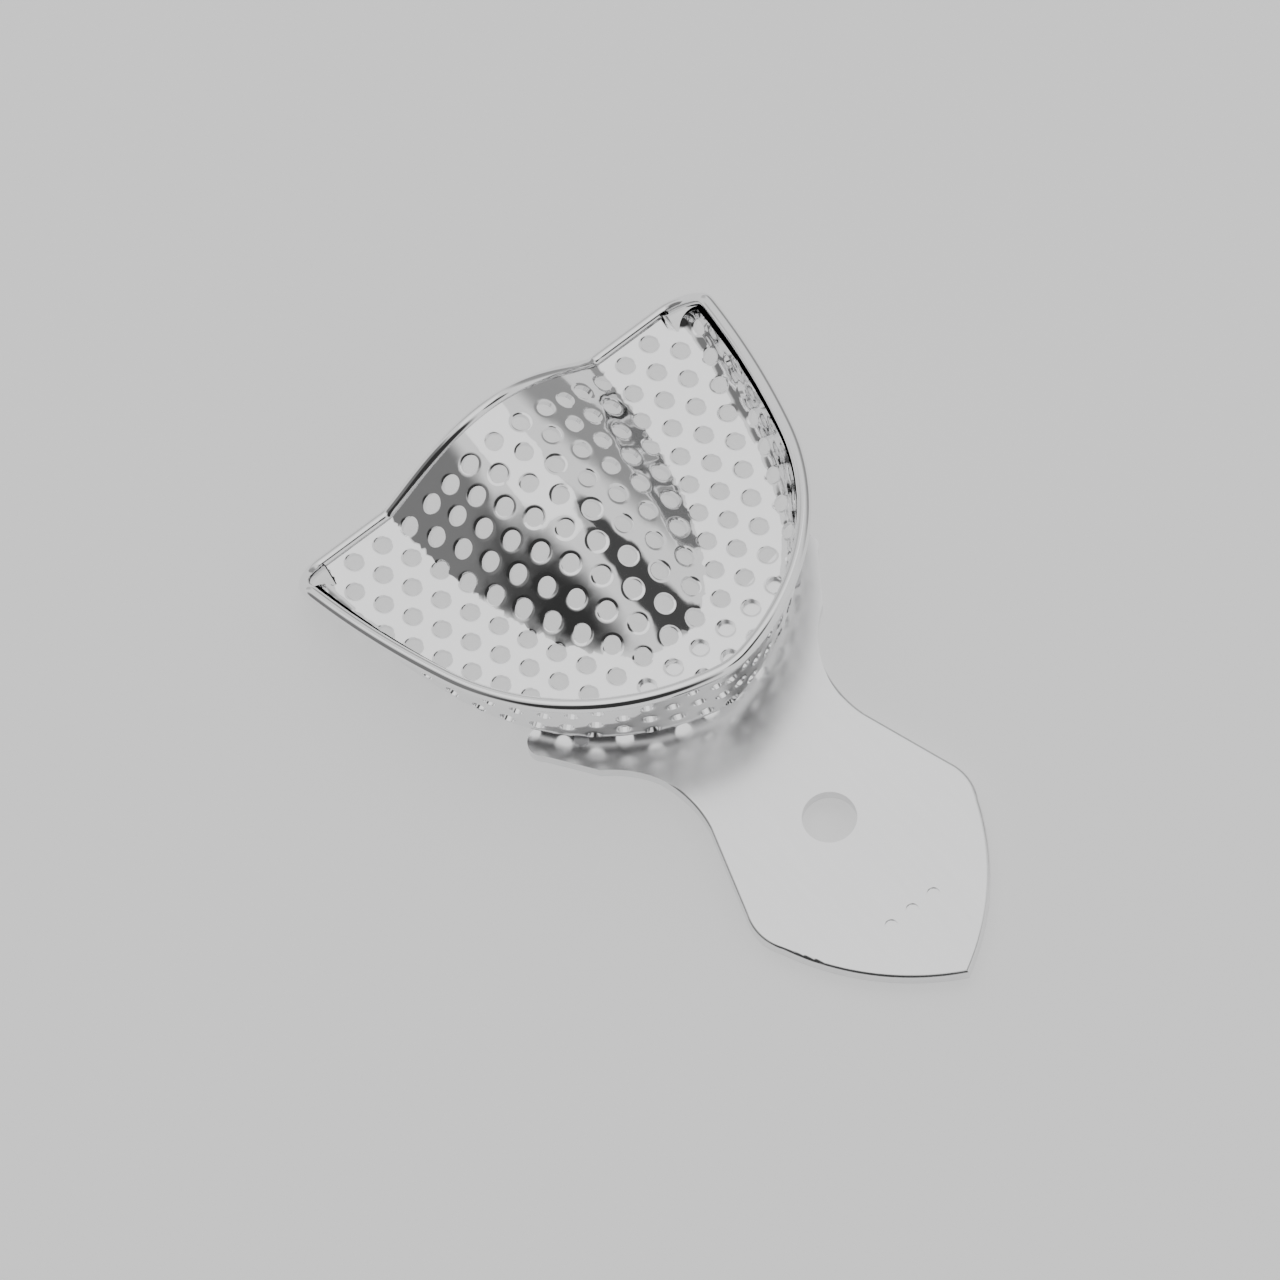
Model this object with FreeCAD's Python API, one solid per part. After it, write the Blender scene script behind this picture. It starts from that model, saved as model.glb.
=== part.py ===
"""Perforated upper impression tray: drawn sheet shell, rolled rim wire and flat handle.

Frame: origin on the axis of the handle's hanging hole, on the handle's flat underside,
+Y towards the back of the mouth, +X to the wearer's side, +Z up. Millimetres.
"""
import FreeCAD, Part
import math
import os

V = FreeCAD.Vector

# Handle plate
PLATE_T = 1.8
HOLE_R = 3.3
PLATE_EDGE_R = 0.5
TIP_Y = -26.0
SHOULDER_X = 15.9
NECK_X = 11.4
NECK_Y = 12.0
SIZE_DOT_R = 0.8
SIZE_DOT_DEPTH = 0.2

# Perforated sheet
SHEET_T = 0.7
FLOOR_Z = PLATE_T
FOOT_R = 3.0
LEAN = 1.2
CUP_H = 17.0

# Plan outline of the flange's outer face at the rim: tangent arcs, then a square back
NOSE_R = 9.6
SIDE_R = 32.8
CHEEK_R = 114.0
NOSE_ANGLE = math.radians(13.0)
SIDE_ANGLE = math.radians(72.4)
CORNER_R = 4.5
FRONT_Y = 16.9
BACK_Y = 65.2

# Rim wire
WIRE_R = 0.85
RIM_FRONT_H = 14.7
RIM_BACK_H = 4.4
BACK_FALL = 1.2
FALL_BLEND = 0.3
BUTT_GAP = 0.4

# Palate vault: half an ellipse in plan, highest at the back edge
VAULT_HALF_W = 15.8
VAULT_LENGTH = 36.3
VAULT_H = 8.6
VAULT_POWER = 1.25

# Perforations: staggered rows punched before drawing
PITCH = 4.0
ROW = 3.38
PERF_R = 1.07
PERF_TOP_R = 0.68
ROW_ZERO_Y = 60.7
SPREAD = math.radians(6.0)
SPREAD_Y = 29.1
ROWS_AHEAD = 16
COLUMNS = 12

# Spot welds between the handle's tongue and the floor
NUGGET_R = 0.9
NUGGET_IN_PLATE = 0.6
NUGGET_IN_SHEET = 0.4

# Zone in the middle that holds the vault and no flange
CLEAR_X = 19.0
CLEAR_Y = 31.0

WIRE_INSET = SHEET_T / 2
BACK_EDGE_Y = BACK_Y - WIRE_INSET
LONG = 200.0


def side(angle):
    """Unit vector at an angle from the forward direction, towards +X."""
    return V(math.sin(angle), -math.cos(angle), 0)


NOSE_C = V(0, FRONT_Y + NOSE_R, 0)
SIDE_C = NOSE_C + side(NOSE_ANGLE) * (NOSE_R - SIDE_R)
CHEEK_C = SIDE_C + side(SIDE_ANGLE) * (SIDE_R - CHEEK_R)
CORNER_Y = BACK_Y - CORNER_R
CORNER_X = CHEEK_C.x + math.sqrt((CHEEK_R - CORNER_R) ** 2 - (CORNER_Y - CHEEK_C.y) ** 2)
CORNER_C = V(CORNER_X, CORNER_Y, 0)
CHEEK_ANGLE = math.atan2(CORNER_X - CHEEK_C.x, CHEEK_C.y - CORNER_Y)
ARCS = (
    (NOSE_C, NOSE_R, 0.0, NOSE_ANGLE),
    (SIDE_C, SIDE_R, NOSE_ANGLE, SIDE_ANGLE),
    (CHEEK_C, CHEEK_R, SIDE_ANGLE, CHEEK_ANGLE),
    (CORNER_C, CORNER_R, CHEEK_ANGLE, math.pi),
)


def mirrored(p):
    return V(-p.x, p.y, p.z)


def outline(inset, z):
    """Closed plan outline, moved inwards by inset, at height z."""
    edges = []
    for centre, radius, start, end in ARCS:
        p = [centre + side(a) * (radius - inset) + V(0, 0, z) for a in (start, (start + end) / 2, end)]
        edges.append(Part.Arc(*p).toShape())
        edges.append(Part.Arc(*[mirrored(q) for q in p]).toShape())
    back = CORNER_C + V(0, CORNER_R - inset, z)
    edges.append(Part.makeLine(back, mirrored(back)))
    return Part.Wire(Part.__sortEdges__(edges))


def cup(inset, bottom_z, foot_r):
    """Solid filling the tray from bottom_z up, with leaning walls and a rounded foot."""
    low = outline(inset + LEAN, bottom_z)
    high = outline(inset, FLOOR_Z + CUP_H)
    body = Part.makeLoft([low, high], True, True)
    foot = [e for e in body.Edges if e.BoundBox.ZMax < bottom_z + 0.01]
    return body.makeFillet(foot_r, foot)


def vault_height(x, y):
    """Height of the palate vault above the floor at a point in plan."""
    reach = (x / VAULT_HALF_W) ** 2 + ((BACK_EDGE_Y - y) / VAULT_LENGTH) ** 2
    return VAULT_H * max(0.0, 1 - reach) ** VAULT_POWER


def dome(half_w, length, base_z, lift):
    """Bell-shaped solid of the vault: a turned profile, squeezed across."""
    steps = 10
    points = []
    for k in range(steps + 1):
        reach = math.sin(math.pi / 2 * k / steps)
        points.append(V(reach * length, 0, base_z + lift + VAULT_H * (1 - reach ** 2) ** VAULT_POWER))
    crown = Part.BSplineCurve()
    crown.interpolate(points)
    top = V(0, 0, points[0].z)
    low = V(0, 0, base_z)
    foot = V(length, 0, base_z)
    edges = [Part.makeLine(low, top), crown.toShape()]
    if lift > 0:
        edges.append(Part.makeLine(points[-1], foot))
    edges.append(Part.makeLine(foot, low))
    turned = Part.Face(Part.Wire(edges)).revolve(V(0, 0, 0), V(0, 0, 1), 360)
    squeeze = FreeCAD.Matrix()
    squeeze.A11 = half_w / length
    body = turned.transformGeometry(squeeze)
    body.translate(V(0, BACK_EDGE_Y, 0))
    return body


def ease(t):
    t = min(1.0, max(0.0, t))
    return t * t * (3 - 2 * t)


def rim_height(y):
    """Height of the rim wire's centre above the floor's underside: a long slope, then a short steep one."""
    along = (y - FRONT_Y) / (BACK_Y - FRONT_Y)
    slope = RIM_FRONT_H + (RIM_BACK_H - RIM_FRONT_H) * along
    fall = SHEET_T / 2 + BACK_FALL * (BACK_EDGE_Y - y)
    return (slope + fall - math.hypot(slope - fall, FALL_BLEND)) / 2


def rim_point(arc, part):
    """Centre of the rim wire on an arc of the outline, at a fraction of the arc."""
    centre, radius, start, end = ARCS[arc]
    p = centre + side(start + (end - start) * part) * (radius - WIRE_INSET)
    p.z = FLOOR_Z + rim_height(p.y)
    return p


def rim_corners():
    """Corners of the rim wire's course on the +X side, from the front midline to the back one."""
    front = rim_point(0, 0.0)
    points = [front, front + V(1.6, 0, 0)]
    for arc, parts in ((1, (0.06, 0.22, 0.4, 0.58, 0.76, 0.94)), (2, (0.2, 0.5, 0.8)), (3, (0.05, 0.35, 0.7))):
        points += [rim_point(arc, part) for part in parts]
    across = 9
    for k in range(across - 1):
        x = (CORNER_X - 1.0) * (1 - k / across)
        points.append(V(x, BACK_EDGE_Y, FLOOR_Z + SHEET_T / 2 + vault_height(x, BACK_EDGE_Y)))
    crest = V(0, BACK_EDGE_Y, FLOOR_Z + SHEET_T / 2 + VAULT_H)
    return points + [crest + V(1.5, 0, 0), crest + V(BUTT_GAP / 2, 0, 0)]


def rounded_course(corners):
    """Straight runs through the corners, joined by arcs as large as the runs allow."""
    edges = []
    here = corners[0]
    for before, corner, after in zip(corners, corners[1:], corners[2:]):
        back = (before - corner).normalize()
        ahead = (after - corner).normalize()
        turn = math.pi - back.getAngle(ahead)
        if turn < 0.002:
            continue
        reach = 0.45 * min((before - corner).Length, (after - corner).Length)
        into = corner + back * reach
        out = corner + ahead * reach
        radius = reach / math.tan(turn / 2)
        middle = corner + (back + ahead).normalize() * (radius / math.cos(turn / 2) - radius)
        edges.append(Part.makeLine(here, into))
        edges.append(Part.Arc(into, middle, out).toShape())
        here = out
    edges.append(Part.makeLine(here, corners[-1]))
    return Part.Wire(edges)


def both(shape):
    """A shape of the +X side and its mirror image, as one."""
    return shape.fuse(shape.mirror(V(0, 0, 0), V(1, 0, 0)))


def rim_tube():
    """Round wire along the whole rim, open by the butt gap at the back."""
    corners = rim_corners()
    ring = Part.Wire([Part.Circle(corners[0], V(1, 0, 0), WIRE_R).toShape()])
    half = rounded_course(corners).makePipeShell([ring], True, False)
    return solid_of(both(half))


def solid_of(shape):
    """The single solid of a shape, cleaned."""
    return max(shape.Solids, key=lambda s: s.Volume)


def prism(profile, x_low, x_high):
    """Prism between two planes of constant x, from its (y, z) corners."""
    corners = [V(x_low, y, z) for y, z in profile]
    return Part.Face(Part.makePolygon(corners + corners[:1])).extrude(V(x_high - x_low, 0, 0))


def trim_tools():
    """Everything above the rim wire's lower side; the vault's zone is left alone."""
    slope = (RIM_BACK_H - RIM_FRONT_H) / (BACK_Y - FRONT_Y)
    drop = WIRE_R * math.hypot(1, slope)
    start = FRONT_Y - 10
    knee = CORNER_Y + 0.1
    top = FLOOR_Z + 2 * CUP_H

    def edge_z(y):
        return FLOOR_Z + RIM_FRONT_H + slope * (y - FRONT_Y) - drop

    foot_y = BACK_EDGE_Y - WIRE_R
    sloping = [(start, edge_z(start)), (knee, edge_z(knee)), (foot_y, FLOOR_Z + SHEET_T), (foot_y + 9, FLOOR_Z),
               (foot_y + 9, top), (start, top)]
    front = [(start, edge_z(start)), (CLEAR_Y, edge_z(CLEAR_Y)), (CLEAR_Y, top), (start, top)]
    return [prism(sloping, CLEAR_X, LONG / 2), prism(sloping, -LONG / 2, -CLEAR_X),
            prism(front, -CLEAR_X, CLEAR_X)]


def open_back(body):
    """The back has no flange: the bent foot there gives way to flat floor."""
    start = BACK_Y - LEAN - FOOT_R
    body = body.cut(Part.makeBox(2 * CORNER_X, LONG, LONG, V(-CORNER_X, start, FLOOR_Z - 1)))
    return body.fuse(Part.makeBox(2 * CORNER_X, BACK_Y - start, SHEET_T, V(-CORNER_X, start, FLOOR_Z)))


def nearest(p, inset):
    """Nearest foot of a point on the outline moved in by inset: distance outside it, and direction."""
    best = None
    for arc, (centre, radius, start, end) in enumerate(ARCS):
        rel = V(abs(p.x), p.y, 0) - centre
        angle = math.atan2(rel.x, -rel.y)
        if start <= angle < end:
            gap = rel.Length - (radius - inset)
            if best is None or abs(gap) < abs(best[0]):
                best = (gap, angle, centre, radius, arc)
    return best


def lattice():
    """Places of the perforations in plan, as if the floor went on flat."""
    for row in range(-1, ROWS_AHEAD):
        for column in range(-COLUMNS, COLUMNS + 1):
            across = PITCH * (column + 0.5 * (row % 2 == 0))
            y = ROW_ZERO_Y - ROW * row
            side_share = ease((abs(across) - 3.0) / VAULT_HALF_W)
            ahead = max(0.0, y - SPREAD_Y)
            x = across - math.copysign(math.sin(SPREAD) * ahead * side_share, across)
            y += math.sin(SPREAD) * max(0.0, abs(x) - 6.0) * side_share
            yield V(x, y, 0)


def drill(p, axis, radius):
    """Cylinder through the sheet at a point of its middle surface."""
    depth = 3 * SHEET_T
    return Part.makeCylinder(radius, depth, p - axis * (depth / 2), axis)


def floor_drill(p):
    """Drill for a perforation in the floor or vault, square to the sheet."""
    step = 0.05
    z = vault_height(p.x, p.y)
    slope_x = (vault_height(p.x + step, p.y) - vault_height(p.x - step, p.y)) / (2 * step)
    slope_y = (vault_height(p.x, p.y + step) - vault_height(p.x, p.y - step)) / (2 * step)
    axis = V(-slope_x, -slope_y, 1).normalize()
    return drill(V(p.x, p.y, FLOOR_Z + SHEET_T / 2 + z), axis, PERF_R)


def wall_drill(foot, foot_inset, bend_r):
    """Drill for a perforation that the drawing carried up the foot bend or the flange."""
    gap, angle, centre, radius, _ = foot
    bend = bend_r * math.pi / 2
    if gap < bend:
        turn = gap / bend_r
        out = bend_r * math.sin(turn)
        up = bend_r * (1 - math.cos(turn))
    else:
        turn = math.pi / 2
        out = bend_r + (gap - bend) * LEAN / CUP_H
        up = bend_r + gap - bend
    p = centre + side(angle) * (radius - foot_inset + out)
    share = min(1.0, up / RIM_FRONT_H)
    axis = side(angle) * math.sin(turn) - V(0, 0, math.cos(turn))
    if p.y > CORNER_Y or up > rim_height(p.y) - WIRE_R - PERF_TOP_R:
        return None
    return drill(p + V(0, 0, FLOOR_Z + SHEET_T / 2 + up), axis, PERF_R + (PERF_TOP_R - PERF_R) * share)


def perforations():
    """All drills, each side of the midline by the same rule."""
    foot_inset = LEAN + FOOT_R
    bend_r = FOOT_R - SHEET_T / 2
    drills = []
    for p in lattice():
        if p.y > BACK_EDGE_Y - WIRE_R - PERF_R:
            continue
        foot = nearest(p, foot_inset)
        if foot is None or foot[0] <= 0:
            drills.append(floor_drill(p))
            continue
        tool = wall_drill(foot, foot_inset, bend_r)
        if tool is None:
            continue
        if p.x < 0:
            tool = tool.mirror(V(0, 0, 0), V(1, 0, 0))
        drills.append(tool)
    return drills


def handle_outline():
    """Half outline of the plate on the +X side, tip to tongue, as edges."""
    tip = V(0, TIP_Y, 0)
    cheek = V(8.6, TIP_Y + 6.6, 0)
    low_corner = V(SHOULDER_X - 0.9, -9.6, 0)
    corner = V(SHOULDER_X + 0.1, -6.6, 0)
    high_corner = V(SHOULDER_X - 0.4, -3.4, 0)
    waist = V(NECK_X + 0.4, NECK_Y - 4.0, 0)
    neck = V(NECK_X, NECK_Y, 0)
    flare = V(NECK_X + 1.0, NECK_Y + 5.0, 0)
    root = V(17.0, 22.2, 0)
    wing = V(21.0, 28.0, 0)
    wing_end = V(19.6, 31.4, 0)
    inner = V(10.0, 29.6, 0)
    middle = V(0, 27.2, 0)
    return [
        Part.Arc(tip, cheek, low_corner).toShape(),
        Part.Arc(low_corner, corner, high_corner).toShape(),
        Part.makeLine(high_corner, waist),
        Part.Arc(waist, neck, flare).toShape(),
        Part.Arc(flare, V(14.2, 19.7, 0), root).toShape(),
        Part.makeLine(root, wing),
        Part.Arc(wing, V(21.6, 30.4, 0), wing_end).toShape(),
        Part.Arc(wing_end, inner, middle).toShape(),
    ]


def handle():
    """Flat plate with its hanging hole, rounded top edge and shallow size dots."""
    right = handle_outline()
    left = [e.mirror(V(0, 0, 0), V(1, 0, 0)) for e in right]
    plate = Part.Face(Part.Wire(Part.__sortEdges__(right + left))).extrude(V(0, 0, PLATE_T))
    rim = [e for e in plate.Edges if e.BoundBox.ZMin > PLATE_T - 0.01 and e.CenterOfMass.y < NECK_Y + 4]
    plate = plate.makeFillet(PLATE_EDGE_R, rim)
    plate = plate.cut(Part.makeCylinder(HOLE_R, PLATE_T, V(0, 0, 0)))
    for k in (-1, 0, 1):
        spot = V(3.2 * k, -15.5, PLATE_T - SIZE_DOT_DEPTH)
        plate = plate.cut(Part.makeCylinder(SIZE_DOT_R, SIZE_DOT_DEPTH, spot))
    return plate


def nuggets():
    """Spot-weld nuggets between perforations, half in the tongue and half in the floor."""
    low = FLOOR_Z - NUGGET_IN_PLATE
    tall = NUGGET_IN_PLATE + NUGGET_IN_SHEET
    spots = ((2.0, 23.2), (6.0, 23.4), (12.2, 26.2), (16.2, 26.8))
    return [Part.makeCylinder(NUGGET_R, tall, V(s * x, y, low)) for x, y in spots for s in (1, -1)]


def shell():
    """Drawn perforated sheet: floor, vault, foot bend and flange. Its edges meet the rim wire."""
    body = open_back(cup(0, FLOOR_Z, FOOT_R).cut(cup(SHEET_T, FLOOR_Z + SHEET_T, FOOT_R - SHEET_T)))
    body = solid_of(body.cut(trim_tools()))
    body = body.fuse(dome(VAULT_HALF_W, VAULT_LENGTH, FLOOR_Z, SHEET_T))
    under = SHEET_T * 0.7
    body = body.cut(dome(VAULT_HALF_W - under, VAULT_LENGTH - under, FLOOR_Z, 0))
    body = body.cut(Part.makeBox(LONG, LONG, LONG, V(-LONG / 2, BACK_EDGE_Y - WIRE_R, -LONG / 2)))
    return solid_of(body.cut(perforations()))


def save(name, shape):
    print(name, shape.isValid(), len(shape.Solids), round(shape.Volume, 1), shape.BoundBox)
    shape.exportStep("parts/%s.step" % name)


def main():
    os.makedirs("parts", exist_ok=True)
    butt = V(-BUTT_GAP / 2, BACK_EDGE_Y, FLOOR_Z + SHEET_T / 2 + VAULT_H)
    save("rim_wire", rim_tube())
    save("rim_butt_weld", Part.makeCylinder(WIRE_R, BUTT_GAP, butt, V(1, 0, 0)))
    plate = handle()
    spots = nuggets()
    save("tray_shell", shell().cut(spots))
    save("handle", plate.cut(spots))
    save("handle_weld_nuggets", Part.Compound(spots))


main()
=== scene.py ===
"""Looks of the perforated impression tray: polished drawn sheet, wire rim and satin handle."""
import bpy
import math
import numpy as np
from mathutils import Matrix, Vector, kdtree
from mathutils.geometry import delaunay_2d_cdt


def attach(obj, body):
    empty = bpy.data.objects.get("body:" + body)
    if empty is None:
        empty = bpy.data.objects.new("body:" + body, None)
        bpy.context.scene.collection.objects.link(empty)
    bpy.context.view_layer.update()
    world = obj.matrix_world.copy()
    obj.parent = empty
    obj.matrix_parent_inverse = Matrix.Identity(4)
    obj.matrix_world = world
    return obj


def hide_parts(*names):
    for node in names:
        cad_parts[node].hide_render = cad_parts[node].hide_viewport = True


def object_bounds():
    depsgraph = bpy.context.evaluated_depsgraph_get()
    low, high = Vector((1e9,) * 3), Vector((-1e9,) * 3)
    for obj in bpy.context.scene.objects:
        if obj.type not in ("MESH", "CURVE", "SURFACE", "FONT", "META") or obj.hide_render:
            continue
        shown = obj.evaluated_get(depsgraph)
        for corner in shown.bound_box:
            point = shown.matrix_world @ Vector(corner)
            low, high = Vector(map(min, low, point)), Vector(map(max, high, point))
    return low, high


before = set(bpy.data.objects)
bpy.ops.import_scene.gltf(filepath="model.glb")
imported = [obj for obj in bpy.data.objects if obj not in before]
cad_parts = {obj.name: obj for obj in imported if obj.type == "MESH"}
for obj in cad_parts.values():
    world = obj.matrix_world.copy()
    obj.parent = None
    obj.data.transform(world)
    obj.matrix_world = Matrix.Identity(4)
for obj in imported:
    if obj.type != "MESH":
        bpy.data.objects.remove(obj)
cad_low, cad_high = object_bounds()

MM = 0.001

# The tray's driving dimensions, in millimetres, as in the CAD part
SHEET_T = 0.7
FLOOR_Z = 1.8
FOOT_R = 3.0
LEAN = 1.2
CUP_H = 17.0
NOSE_R = 9.6
SIDE_R = 32.8
CHEEK_R = 114.0
NOSE_ANGLE = math.radians(13.0)
SIDE_ANGLE = math.radians(72.4)
CORNER_R = 4.5
FRONT_Y = 16.9
BACK_Y = 65.2
WIRE_R = 0.85
RIM_FRONT_H = 14.7
RIM_BACK_H = 4.4
BACK_FALL = 1.2
FALL_BLEND = 0.3
VAULT_HALF_W = 15.8
VAULT_LENGTH = 36.3
VAULT_H = 8.6
VAULT_POWER = 1.25
PITCH = 4.0
ROW = 3.38
PERF_R = 1.07
PERF_TOP_R = 0.68
ROW_ZERO_Y = 60.7
SPREAD = math.radians(6.0)
SPREAD_Y = 29.1
ROWS_AHEAD = 16
COLUMNS = 12

WIRE_INSET = SHEET_T / 2
BACK_EDGE_Y = BACK_Y - WIRE_INSET
FOOT_INSET = LEAN + FOOT_R
BEND_R = FOOT_R - SHEET_T / 2
BEND = BEND_R * math.pi / 2


def side(angle):
    return Vector((math.sin(angle), -math.cos(angle), 0))


NOSE_C = Vector((0, FRONT_Y + NOSE_R, 0))
SIDE_C = NOSE_C + side(NOSE_ANGLE) * (NOSE_R - SIDE_R)
CHEEK_C = SIDE_C + side(SIDE_ANGLE) * (SIDE_R - CHEEK_R)
CORNER_Y = BACK_Y - CORNER_R
CORNER_X = CHEEK_C.x + math.sqrt((CHEEK_R - CORNER_R) ** 2 - (CORNER_Y - CHEEK_C.y) ** 2)
CORNER_C = Vector((CORNER_X, CORNER_Y, 0))
CHEEK_ANGLE = math.atan2(CORNER_X - CHEEK_C.x, CHEEK_C.y - CORNER_Y)
ARCS = (
    (NOSE_C, NOSE_R, 0.0, NOSE_ANGLE),
    (SIDE_C, SIDE_R, NOSE_ANGLE, SIDE_ANGLE),
    (CHEEK_C, CHEEK_R, SIDE_ANGLE, CHEEK_ANGLE),
    (CORNER_C, CORNER_R, CHEEK_ANGLE, math.pi),
)


def ease(t):
    t = min(1.0, max(0.0, t))
    return t * t * (3 - 2 * t)


def vault_height(x, y):
    reach = (x / VAULT_HALF_W) ** 2 + ((BACK_EDGE_Y - y) / VAULT_LENGTH) ** 2
    return VAULT_H * max(0.0, 1 - reach) ** VAULT_POWER


def rim_height(y):
    """Height of the rim wire's centre above the floor's underside: a long slope, then a steep one."""
    along = (y - FRONT_Y) / (BACK_Y - FRONT_Y)
    slope = RIM_FRONT_H + (RIM_BACK_H - RIM_FRONT_H) * along
    fall = SHEET_T / 2 + BACK_FALL * (BACK_EDGE_Y - y)
    return (slope + fall - math.hypot(slope - fall, FALL_BLEND)) / 2


def rim_point(arc, part):
    """Centre of the rim wire on an arc of the outline."""
    centre, radius, start, end = ARCS[arc]
    p = centre + side(start + (end - start) * part) * (radius - WIRE_INSET)
    p.z = FLOOR_Z + rim_height(p.y)
    return p


def rim_line():
    """Closed line of the rim wire, the +X side first."""
    right = []
    for arc, count in ((0, 4), (1, 14), (2, 10), (3, 10)):
        right += [rim_point(arc, (k + 0.5) / count) for k in range(count)]
    across = 20
    for k in range(across):
        x = CORNER_X * (1 - k / across)
        right.append(Vector((x, BACK_EDGE_Y, FLOOR_Z + SHEET_T / 2 + vault_height(x, BACK_EDGE_Y))))
    front = rim_point(0, 0.0)
    back = Vector((0, BACK_EDGE_Y, FLOOR_Z + SHEET_T / 2 + VAULT_H))
    left = [Vector((-p.x, p.y, p.z)) for p in reversed(right)]
    return [front] + right + [back] + left


def nearest(x, y):
    """Foot of a flat-blank point on the bend's line: distance outside it, angle, centre, radius, arc."""
    best = None
    for arc, (centre, radius, start, end) in enumerate(ARCS):
        rx = abs(x) - centre.x
        ry = y - centre.y
        angle = math.atan2(rx, -ry)
        if start <= angle < end and not (arc == 3 and abs(x) < CORNER_X):
            gap = math.hypot(rx, ry) - (radius - FOOT_INSET)
            if best is None or abs(gap) < abs(best[0]):
                best = (gap, angle, centre, radius, arc)
    return best


def drawn(x, y):
    """Where a point of the flat blank lies on the drawn sheet's middle surface, and the normal there."""
    foot = nearest(x, y)
    if foot is None or foot[0] <= 0:
        step = 0.02
        z = vault_height(x, y)
        sx = (vault_height(x + step, y) - vault_height(x - step, y)) / (2 * step)
        sy = (vault_height(x, y + step) - vault_height(x, y - step)) / (2 * step)
        return Vector((x, y, FLOOR_Z + SHEET_T / 2 + z)), Vector((-sx, -sy, 1)).normalized()
    gap, angle, centre, radius, _ = foot
    turn = min(gap / BEND_R, math.pi / 2)
    out = BEND_R * math.sin(turn)
    up = BEND_R * (1 - math.cos(turn))
    if gap > BEND:
        out += (gap - BEND) * LEAN / CUP_H
        up += gap - BEND
    way = side(angle)
    p = centre + way * (radius - FOOT_INSET + out)
    n = Vector((0, 0, math.cos(turn))) - way * math.sin(turn)
    sign = -1 if x < 0 else 1
    return Vector((p.x * sign, p.y, FLOOR_Z + SHEET_T / 2 + up)), Vector((n.x * sign, n.y, n.z))


def blank_edge():
    """Outline of the flat blank: how far each foot's sheet reaches up to the rim wire."""
    right = []
    for arc, count in ((0, 8), (1, 50), (2, 40), (3, 24)):
        centre, radius, start, end = ARCS[arc]
        for k in range(count):
            part = k / count
            angle = start + (end - start) * part
            up = rim_point(arc, part).z - FLOOR_Z - SHEET_T / 2 - WIRE_R * 0.6
            if up > BEND_R:
                gap = BEND + up - BEND_R
            else:
                gap = BEND_R * math.acos(max(0.0, 1 - max(0.05, up) / BEND_R))
            p = centre + side(angle) * (radius - FOOT_INSET + gap)
            right.append((p.x, min(p.y, BACK_EDGE_Y)))
    across = 60
    corner_x = right[-1][0]
    right += [(corner_x * (1 - k / across), BACK_EDGE_Y) for k in range(across)]
    left = [(-x, y) for x, y in reversed(right[1:])]
    return right + [(0.0, BACK_EDGE_Y)] + left


def lattice():
    for row in range(-1, ROWS_AHEAD):
        for column in range(-COLUMNS, COLUMNS + 1):
            across = PITCH * (column + 0.5 * (row % 2 == 0))
            y = ROW_ZERO_Y - ROW * row
            side_share = ease((abs(across) - 3.0) / VAULT_HALF_W)
            ahead = max(0.0, y - SPREAD_Y)
            x = across - math.copysign(math.sin(SPREAD) * ahead * side_share, across)
            y += math.sin(SPREAD) * max(0.0, abs(x) - 6.0) * side_share
            yield x, y


def perforations():
    """Centre and radius of every perforation in the flat blank."""
    holes = []
    for x, y in lattice():
        if y > BACK_EDGE_Y - WIRE_R - PERF_R:
            continue
        foot = nearest(x, y)
        if foot is None or foot[0] <= 0:
            holes.append((x, y, PERF_R))
            continue
        place, _ = drawn(x, y)
        up = place.z - FLOOR_Z - SHEET_T / 2
        if place.y > CORNER_Y or up > rim_height(place.y) - WIRE_R - PERF_TOP_R:
            continue
        holes.append((x, y, PERF_R + (PERF_TOP_R - PERF_R) * min(1.0, up / RIM_FRONT_H)))
    return holes


def hole_ring(x, y, radius, count):
    """Ring of blank points whose drawn shape is a round hole of that radius."""
    foot = nearest(x, y)
    stretch = 1.0
    way = Vector((1, 0, 0))
    if foot is not None and foot[0] > 0:
        gap, angle, _, arc_r, _ = foot
        way = side(angle)
        way.x = math.copysign(way.x, x)
        out = min(gap, BEND_R)
        stretch = (arc_r - FOOT_INSET + gap) / max(1.0, arc_r - FOOT_INSET + out)
    across = Vector((-way.y, way.x, 0))
    ring = []
    for k in range(count):
        a = 2 * math.pi * k / count
        step = way * (radius * math.cos(a)) + across * (radius * stretch * math.sin(a))
        ring.append((x + step.x, y + step.y))
    return ring


def inside(poly_x, poly_y, x, y):
    """Even-odd test of arrays of points against a polygon."""
    hit = np.zeros(len(x), bool)
    n = len(poly_x)
    for i in range(n):
        x1, y1, x2, y2 = poly_x[i], poly_y[i], poly_x[i - 1], poly_y[i - 1]
        if y1 == y2:
            continue
        cross = (y1 > y) != (y2 > y)
        hit ^= cross & (x < (x2 - x1) * (y - y1) / (y2 - y1) + x1)
    return hit


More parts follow.
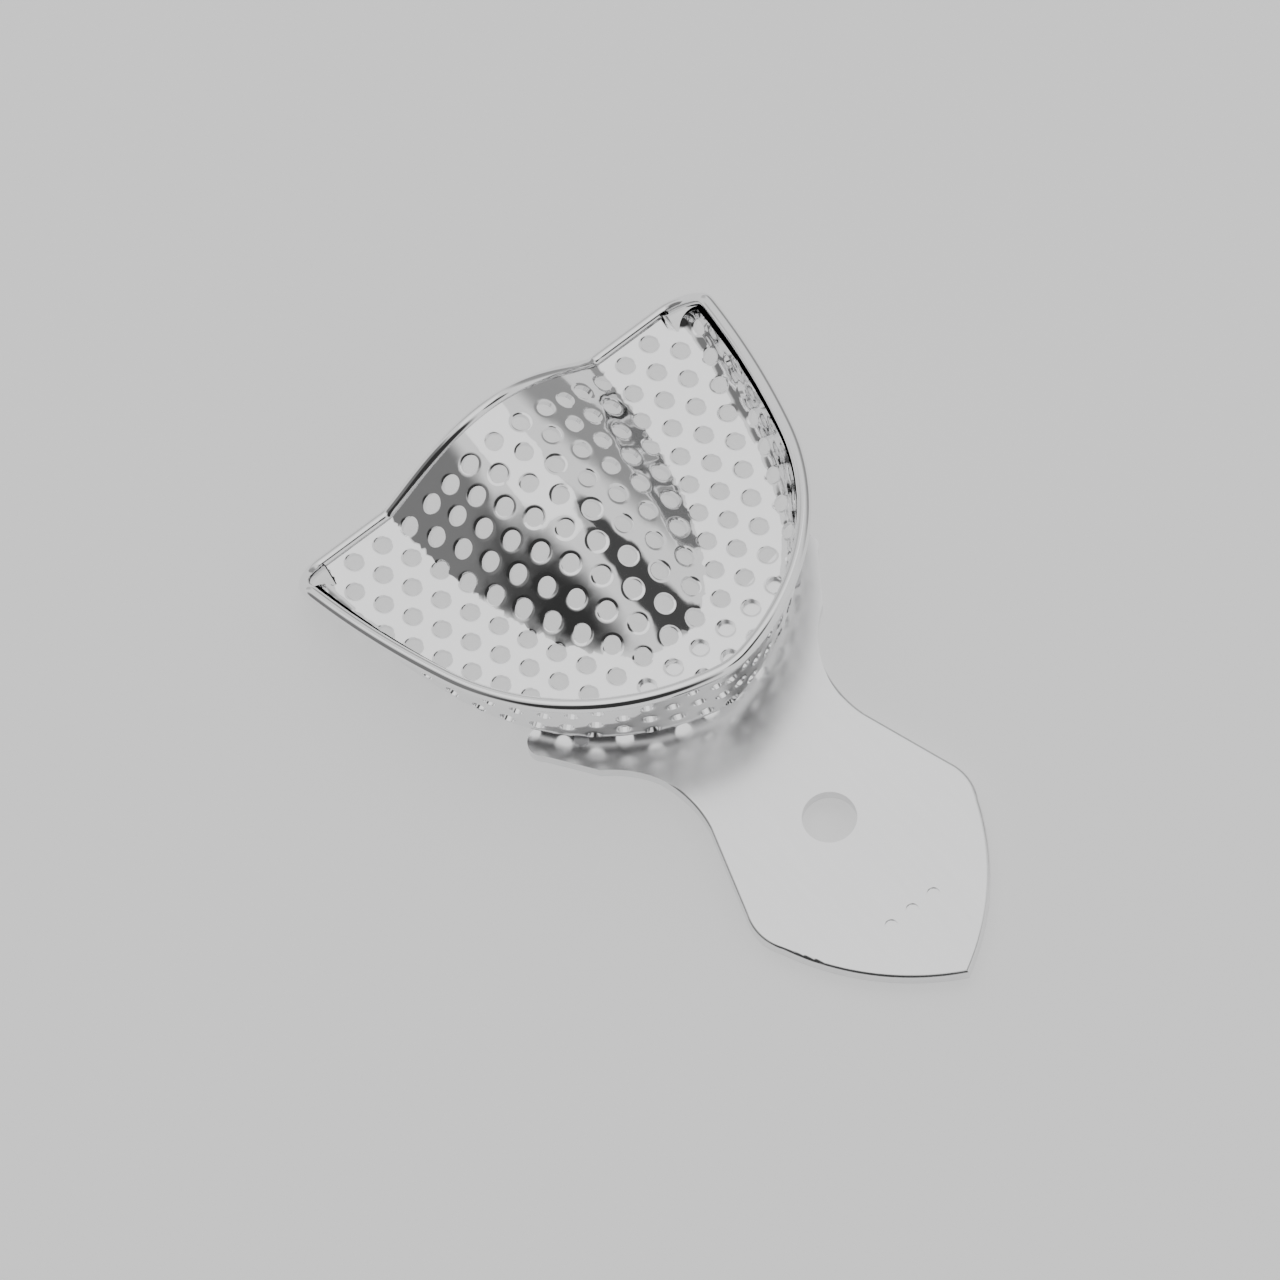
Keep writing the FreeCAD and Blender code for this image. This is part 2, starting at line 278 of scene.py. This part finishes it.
def sheet_triangles(spacing=0.62, ring_count=28):
    """Triangulated flat blank with its perforations: points, triangles and each point's hole."""
    edge = blank_edge()
    holes = perforations()
    points = list(edge)
    owner = [-2] * len(edge)
    edges = [(i, (i + 1) % len(edge)) for i in range(len(edge))]
    for h, (x, y, r) in enumerate(holes):
        for grow, tag in ((1.0, h), (1.16, -1), (1.4, -1)):
            ring = hole_ring(x, y, r * grow, ring_count)
            base = len(points)
            points += ring
            owner += [tag] * ring_count
            if tag >= 0:
                edges += [(base + i, base + (i + 1) % ring_count) for i in range(ring_count)]
    ex = np.array([p[0] for p in edge])
    ey = np.array([p[1] for p in edge])
    gx, gy = np.meshgrid(np.arange(-50, 50, spacing), np.arange(-5, BACK_EDGE_Y, spacing * 0.87))
    gx = gx + spacing / 2 * (np.arange(gx.shape[0]) % 2)[:, None]
    gx, gy = gx.ravel(), gy.ravel()
    keep = inside(ex, ey, gx, gy)
    gap = np.full(len(gx), 9.0)
    for x, y in edge:
        gap = np.minimum(gap, np.hypot(gx - x, gy - y))
    keep &= gap > spacing * 0.5
    for x, y, r in holes:
        keep &= np.hypot(gx - x, gy - y) > r * 1.4 + spacing * 0.45
    points += list(zip(gx[keep], gy[keep]))
    owner += [-1] * int(keep.sum())
    verts, _, faces, origin, _, _ = delaunay_2d_cdt([Vector(p) for p in points], edges, [], 1, 1e-5)
    tags = [max((owner[i] for i in ids if i < len(owner)), default=-1) for ids in origin]
    border = [any(owner[i] == -2 for i in ids if i < len(owner)) for ids in origin]
    faces = [f for f in faces if not (tags[f[0]] >= 0 and tags[f[0]] == tags[f[1]] == tags[f[2]])]
    return verts, faces, tags, border, holes


def sheet_mesh():
    """The drawn sheet with thickness, perforations with slightly rolled edges, and exact normals."""
    flat, faces, tags, border, holes = sheet_triangles()
    tree = kdtree.KDTree(len(holes))
    for h, (x, y, r) in enumerate(holes):
        tree.insert((x, y, 0), h)
    tree.balance()
    places = [drawn(p.x, p.y) for p in flat]
    centres = [drawn(x, y)[0] for x, y, _ in holes]
    upper, lower, upper_n, lower_n = [], [], [], []
    for p, (place, n) in zip(flat, places):
        _, h, _ = tree.find((p.x, p.y, 0))
        away = place - centres[h]
        away -= n * away.dot(n)
        past = max(0.0, away.length - holes[h][2])
        away = away.normalized() if away.length > 1e-6 else away
        roll = math.exp(-(past / 0.28) ** 2)
        upper.append(place + n * (SHEET_T / 2 - 0.07 * roll))
        lower.append(place - n * (SHEET_T / 2 + 0.03 * roll))
        upper_n.append((n - away * 0.38 * roll).normalized())
        lower_n.append((-n + away * 0.1 * roll).normalized())
    count = len(flat)
    polys = [tuple(f) for f in faces]
    loops_n = [upper_n[i] for f in polys for i in f]
    under = [tuple(reversed([i + count for i in f])) for f in polys]
    loops_n += [lower_n[i - count] for f in under for i in f]
    polys += under
    seen = {}
    for f in faces:
        for a, b in zip(f, f[1:] + f[:1]):
            seen[(a, b)] = True
    for a, b in list(seen):
        if (b, a) in seen:
            continue
        quad = (b, a, a + count, b + count)
        polys.append(quad)
        for i in quad:
            j = i % count
            h = tags[j]
            if h >= 0 and not border[j]:
                n = places[j][1]
                w = centres[h] - places[j][0]
                loops_n.append((w - n * w.dot(n)).normalized())
            else:
                va, vb = places[a][0], places[b][0]
                loops_n.append((vb - va).cross(places[a][1]).normalized() * -1)
    verts = [tuple(v * MM) for v in upper + lower]
    mesh = bpy.data.meshes.new("tray_sheet")
    mesh.from_pydata(verts, [], polys)
    mesh.shade_smooth()
    mesh.normals_split_custom_set([tuple(n) for n in loops_n])
    obj = bpy.data.objects.new("tray_sheet", mesh)
    bpy.context.collection.objects.link(obj)
    return obj


def smooth_loop(points, rounds):
    """Closed line, refined by Chaikin-like corner rounding that keeps its course."""
    for _ in range(rounds):
        finer = []
        n = len(points)
        for i in range(n):
            a, b, c, d = points[i - 1], points[i], points[(i + 1) % n], points[(i + 2) % n]
            finer.append(b)
            finer.append((b + c) * 0.5625 - (a + d) * 0.0625)
        points = finer
    return points


def wire_mesh(name, line, radius, segments=28):
    """Round closed tube along a line."""
    line = smooth_loop(line, 2)
    n = len(line)
    verts, faces, normals = [], [], []
    for i in range(n):
        ahead = (line[(i + 1) % n] - line[i - 1]).normalized()
        flat = Vector((ahead.y, -ahead.x, 0)).normalized()
        up = flat.cross(ahead)
        for k in range(segments):
            a = 2 * math.pi * k / segments
            d = flat * math.cos(a) + up * math.sin(a)
            verts.append(tuple((line[i] + d * radius) * MM))
            normals.append(tuple(d))
    for i in range(n):
        for k in range(segments):
            a, b = i * segments + k, i * segments + (k + 1) % segments
            c, d = ((i + 1) % n) * segments + (k + 1) % segments, ((i + 1) % n) * segments + k
            faces.append((d, c, b, a))
    mesh = bpy.data.meshes.new(name)
    mesh.from_pydata(verts, [], faces)
    mesh.shade_smooth()
    mesh.normals_split_custom_set_from_vertices(normals)
    obj = bpy.data.objects.new(name, mesh)
    bpy.context.collection.objects.link(obj)
    return obj


def steel(name, colour, rough, rough_spread, scratch, stretch, bump):
    """Stainless steel: noise-driven roughness, faint polishing lines and a slight orange-peel bump."""
    mat = bpy.data.materials.new(name)
    mat.use_nodes = True
    nodes, links = mat.node_tree.nodes, mat.node_tree.links
    shader = nodes["Principled BSDF"]
    shader.inputs["Metallic"].default_value = 1.0
    where = nodes.new("ShaderNodeTexCoord")
    scale = nodes.new("ShaderNodeMapping")
    scale.inputs["Scale"].default_value = stretch
    links.new(where.outputs["Object"], scale.inputs["Vector"])
    fine = nodes.new("ShaderNodeTexNoise")
    fine.inputs["Scale"].default_value = 900.0
    fine.inputs["Detail"].default_value = 6.0
    links.new(scale.outputs["Vector"], fine.inputs["Vector"])
    broad = nodes.new("ShaderNodeTexNoise")
    broad.inputs["Scale"].default_value = 90.0
    broad.inputs["Detail"].default_value = 3.0
    links.new(where.outputs["Object"], broad.inputs["Vector"])
    level = nodes.new("ShaderNodeMapRange")
    level.inputs["To Min"].default_value = rough - rough_spread
    level.inputs["To Max"].default_value = rough + rough_spread
    mixed = nodes.new("ShaderNodeMath")
    mixed.operation = "ADD"
    links.new(fine.outputs["Fac"], mixed.inputs[0])
    links.new(broad.outputs["Fac"], mixed.inputs[1])
    half = nodes.new("ShaderNodeMath")
    half.operation = "MULTIPLY"
    half.inputs[1].default_value = 0.5
    links.new(mixed.outputs[0], half.inputs[0])
    links.new(half.outputs[0], level.inputs["Value"])
    links.new(level.outputs["Result"], shader.inputs["Roughness"])
    tint = nodes.new("ShaderNodeMixRGB")
    tint.inputs["Color1"].default_value = (*[c * (1 - scratch) for c in colour], 1)
    tint.inputs["Color2"].default_value = (*colour, 1)
    links.new(fine.outputs["Fac"], tint.inputs["Fac"])
    links.new(tint.outputs["Color"], shader.inputs["Base Color"])
    dent = nodes.new("ShaderNodeBump")
    dent.inputs["Strength"].default_value = bump
    dent.inputs["Distance"].default_value = 0.00002
    links.new(fine.outputs["Fac"], dent.inputs["Height"])
    links.new(dent.outputs["Normal"], shader.inputs["Normal"])
    return mat


SHEET_STEEL = steel("polished_sheet", (0.90, 0.90, 0.905), 0.07, 0.03, 0.05, (1, 1, 1), 0.05)
WIRE_STEEL = steel("polished_wire", (0.90, 0.90, 0.905), 0.10, 0.04, 0.05, (1, 1, 1), 0.05)
PLATE_STEEL = steel("satin_plate", (0.86, 0.86, 0.865), 0.24, 0.05, 0.08, (1, 0.15, 1), 0.10)
WELD_STEEL = steel("weld_metal", (0.70, 0.70, 0.71), 0.35, 0.1, 0.2, (1, 1, 1), 0.3)


def paint(node, material):
    """Gives a CAD node's every material slot the same new material."""
    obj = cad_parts[node]
    if not obj.material_slots:
        obj.data.materials.append(material)
    for place in obj.material_slots:
        place.material = material


def dress():
    sheet = sheet_mesh()
    sheet.data.materials.append(SHEET_STEEL)
    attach(sheet, "root")
    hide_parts("tray_shell")
    wire = wire_mesh("rim_bead", rim_line(), WIRE_R)
    wire.data.materials.append(WIRE_STEEL)
    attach(wire, "root")
    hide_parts("rim_wire")
    paint("handle", PLATE_STEEL)
    paint("rim_butt_weld", WIRE_STEEL)
    paint("handle_weld_nuggets", WELD_STEEL)


def studio():
    """White studio round the tray with soft dark zones, which the polished steel mirrors."""
    world = bpy.data.worlds.new("studio")
    bpy.context.scene.world = world
    world.use_nodes = True
    nodes, links = world.node_tree.nodes, world.node_tree.links
    nodes.clear()
    out = nodes.new("ShaderNodeOutputWorld")
    back = nodes.new("ShaderNodeBackground")
    links.new(back.outputs[0], out.inputs[0])
    where = nodes.new("ShaderNodeTexCoord")
    level = None
    zones = (
        ((-0.64, -0.51, 0.57), 44, 26, 0.96),
        ((-0.85, 0.35, 0.39), 34, 20, 0.80),
        ((0.40, -0.32, 0.86), 18, 13, 0.93),
        ((0.93, 0.35, -0.06), 46, 26, 0.68),
        ((0.10, 0.98, 0.10), 30, 10, 0.40),
    )
    for way, outer, inner, depth in zones:
        dot = nodes.new("ShaderNodeVectorMath")
        dot.operation = "DOT_PRODUCT"
        dot.inputs[1].default_value = Vector(way).normalized()
        links.new(where.outputs["Generated"], dot.inputs[0])
        soft = nodes.new("ShaderNodeMapRange")
        soft.interpolation_type = "SMOOTHSTEP"
        soft.inputs["From Min"].default_value = math.cos(math.radians(outer))
        soft.inputs["From Max"].default_value = math.cos(math.radians(inner))
        soft.inputs["To Min"].default_value = 1.0
        soft.inputs["To Max"].default_value = 1.0 - depth
        links.new(dot.outputs["Value"], soft.inputs["Value"])
        if level is None:
            level = soft.outputs["Result"]
            continue
        both = nodes.new("ShaderNodeMath")
        both.operation = "MULTIPLY"
        links.new(level, both.inputs[0])
        links.new(soft.outputs["Result"], both.inputs[1])
        level = both.outputs[0]
    links.new(level, back.inputs["Color"])
    back.inputs["Strength"].default_value = 1.05


def backdrop():
    """Plain pale floor under the tray."""
    size = 1.2
    mesh = bpy.data.meshes.new("studio_floor")
    z = -0.0005
    mesh.from_pydata([(-size, -size, z), (size, -size, z), (size, size, z), (-size, size, z)], [], [(0, 1, 2, 3)])
    floor = bpy.data.objects.new("studio_floor", mesh)
    bpy.context.collection.objects.link(floor)
    mat = bpy.data.materials.new("pale_floor")
    mat.use_nodes = True
    shader = mat.node_tree.nodes["Principled BSDF"]
    noise = mat.node_tree.nodes.new("ShaderNodeTexNoise")
    noise.inputs["Scale"].default_value = 30.0
    level = mat.node_tree.nodes.new("ShaderNodeMapRange")
    level.inputs["To Min"].default_value = 0.44
    level.inputs["To Max"].default_value = 0.46
    mat.node_tree.links.new(noise.outputs["Fac"], level.inputs["Value"])
    mat.node_tree.links.new(level.outputs["Result"], shader.inputs["Base Color"])
    shader.inputs["Roughness"].default_value = 0.8
    shader.inputs["Emission Color"].default_value = (1, 1, 1, 1)
    shader.inputs["Emission Strength"].default_value = 0.62
    floor.data.materials.append(mat)


def card(name, place, aim, width, height, power):
    """Soft studio light."""
    lamp = bpy.data.lights.new(name, "AREA")
    lamp.shape = "RECTANGLE"
    lamp.size = width
    lamp.size_y = height
    lamp.energy = power
    obj = bpy.data.objects.new(name, lamp)
    bpy.context.collection.objects.link(obj)
    obj.location = place
    obj.rotation_euler = (Vector(aim) - Vector(place)).to_track_quat("-Z", "Y").to_euler()
    return obj


def camera():
    """Long lens from the front left, high above the tray, with its right side rolled up."""
    azimuth, elevation, roll = math.radians(-32.2), math.radians(64.8), math.radians(-7.1)
    distance = 1.2
    low, high = Vector(cad_low), Vector(cad_high)
    aim = Vector((-0.0023, low.y + (high.y - low.y) * 0.646, low.z))
    away = Vector((math.sin(azimuth) * math.cos(elevation), -math.cos(azimuth) * math.cos(elevation),
                   math.sin(elevation)))
    lens = bpy.data.cameras.new("camera")
    lens.sensor_width = 36.0
    lens.lens = lens.sensor_width * distance / 0.1531
    obj = bpy.data.objects.new("camera", lens)
    bpy.context.collection.objects.link(obj)
    obj.location = aim + away * distance
    obj.rotation_euler = (-away).to_track_quat("-Z", "Y").to_euler()
    obj.rotation_euler.rotate_axis("Z", roll)
    bpy.context.scene.camera = obj


dress()
studio()
backdrop()
card("key", (0.1, 0.5, 1.5), (0, 0.03, 0), 1.4, 1.4, 3.0)
camera()
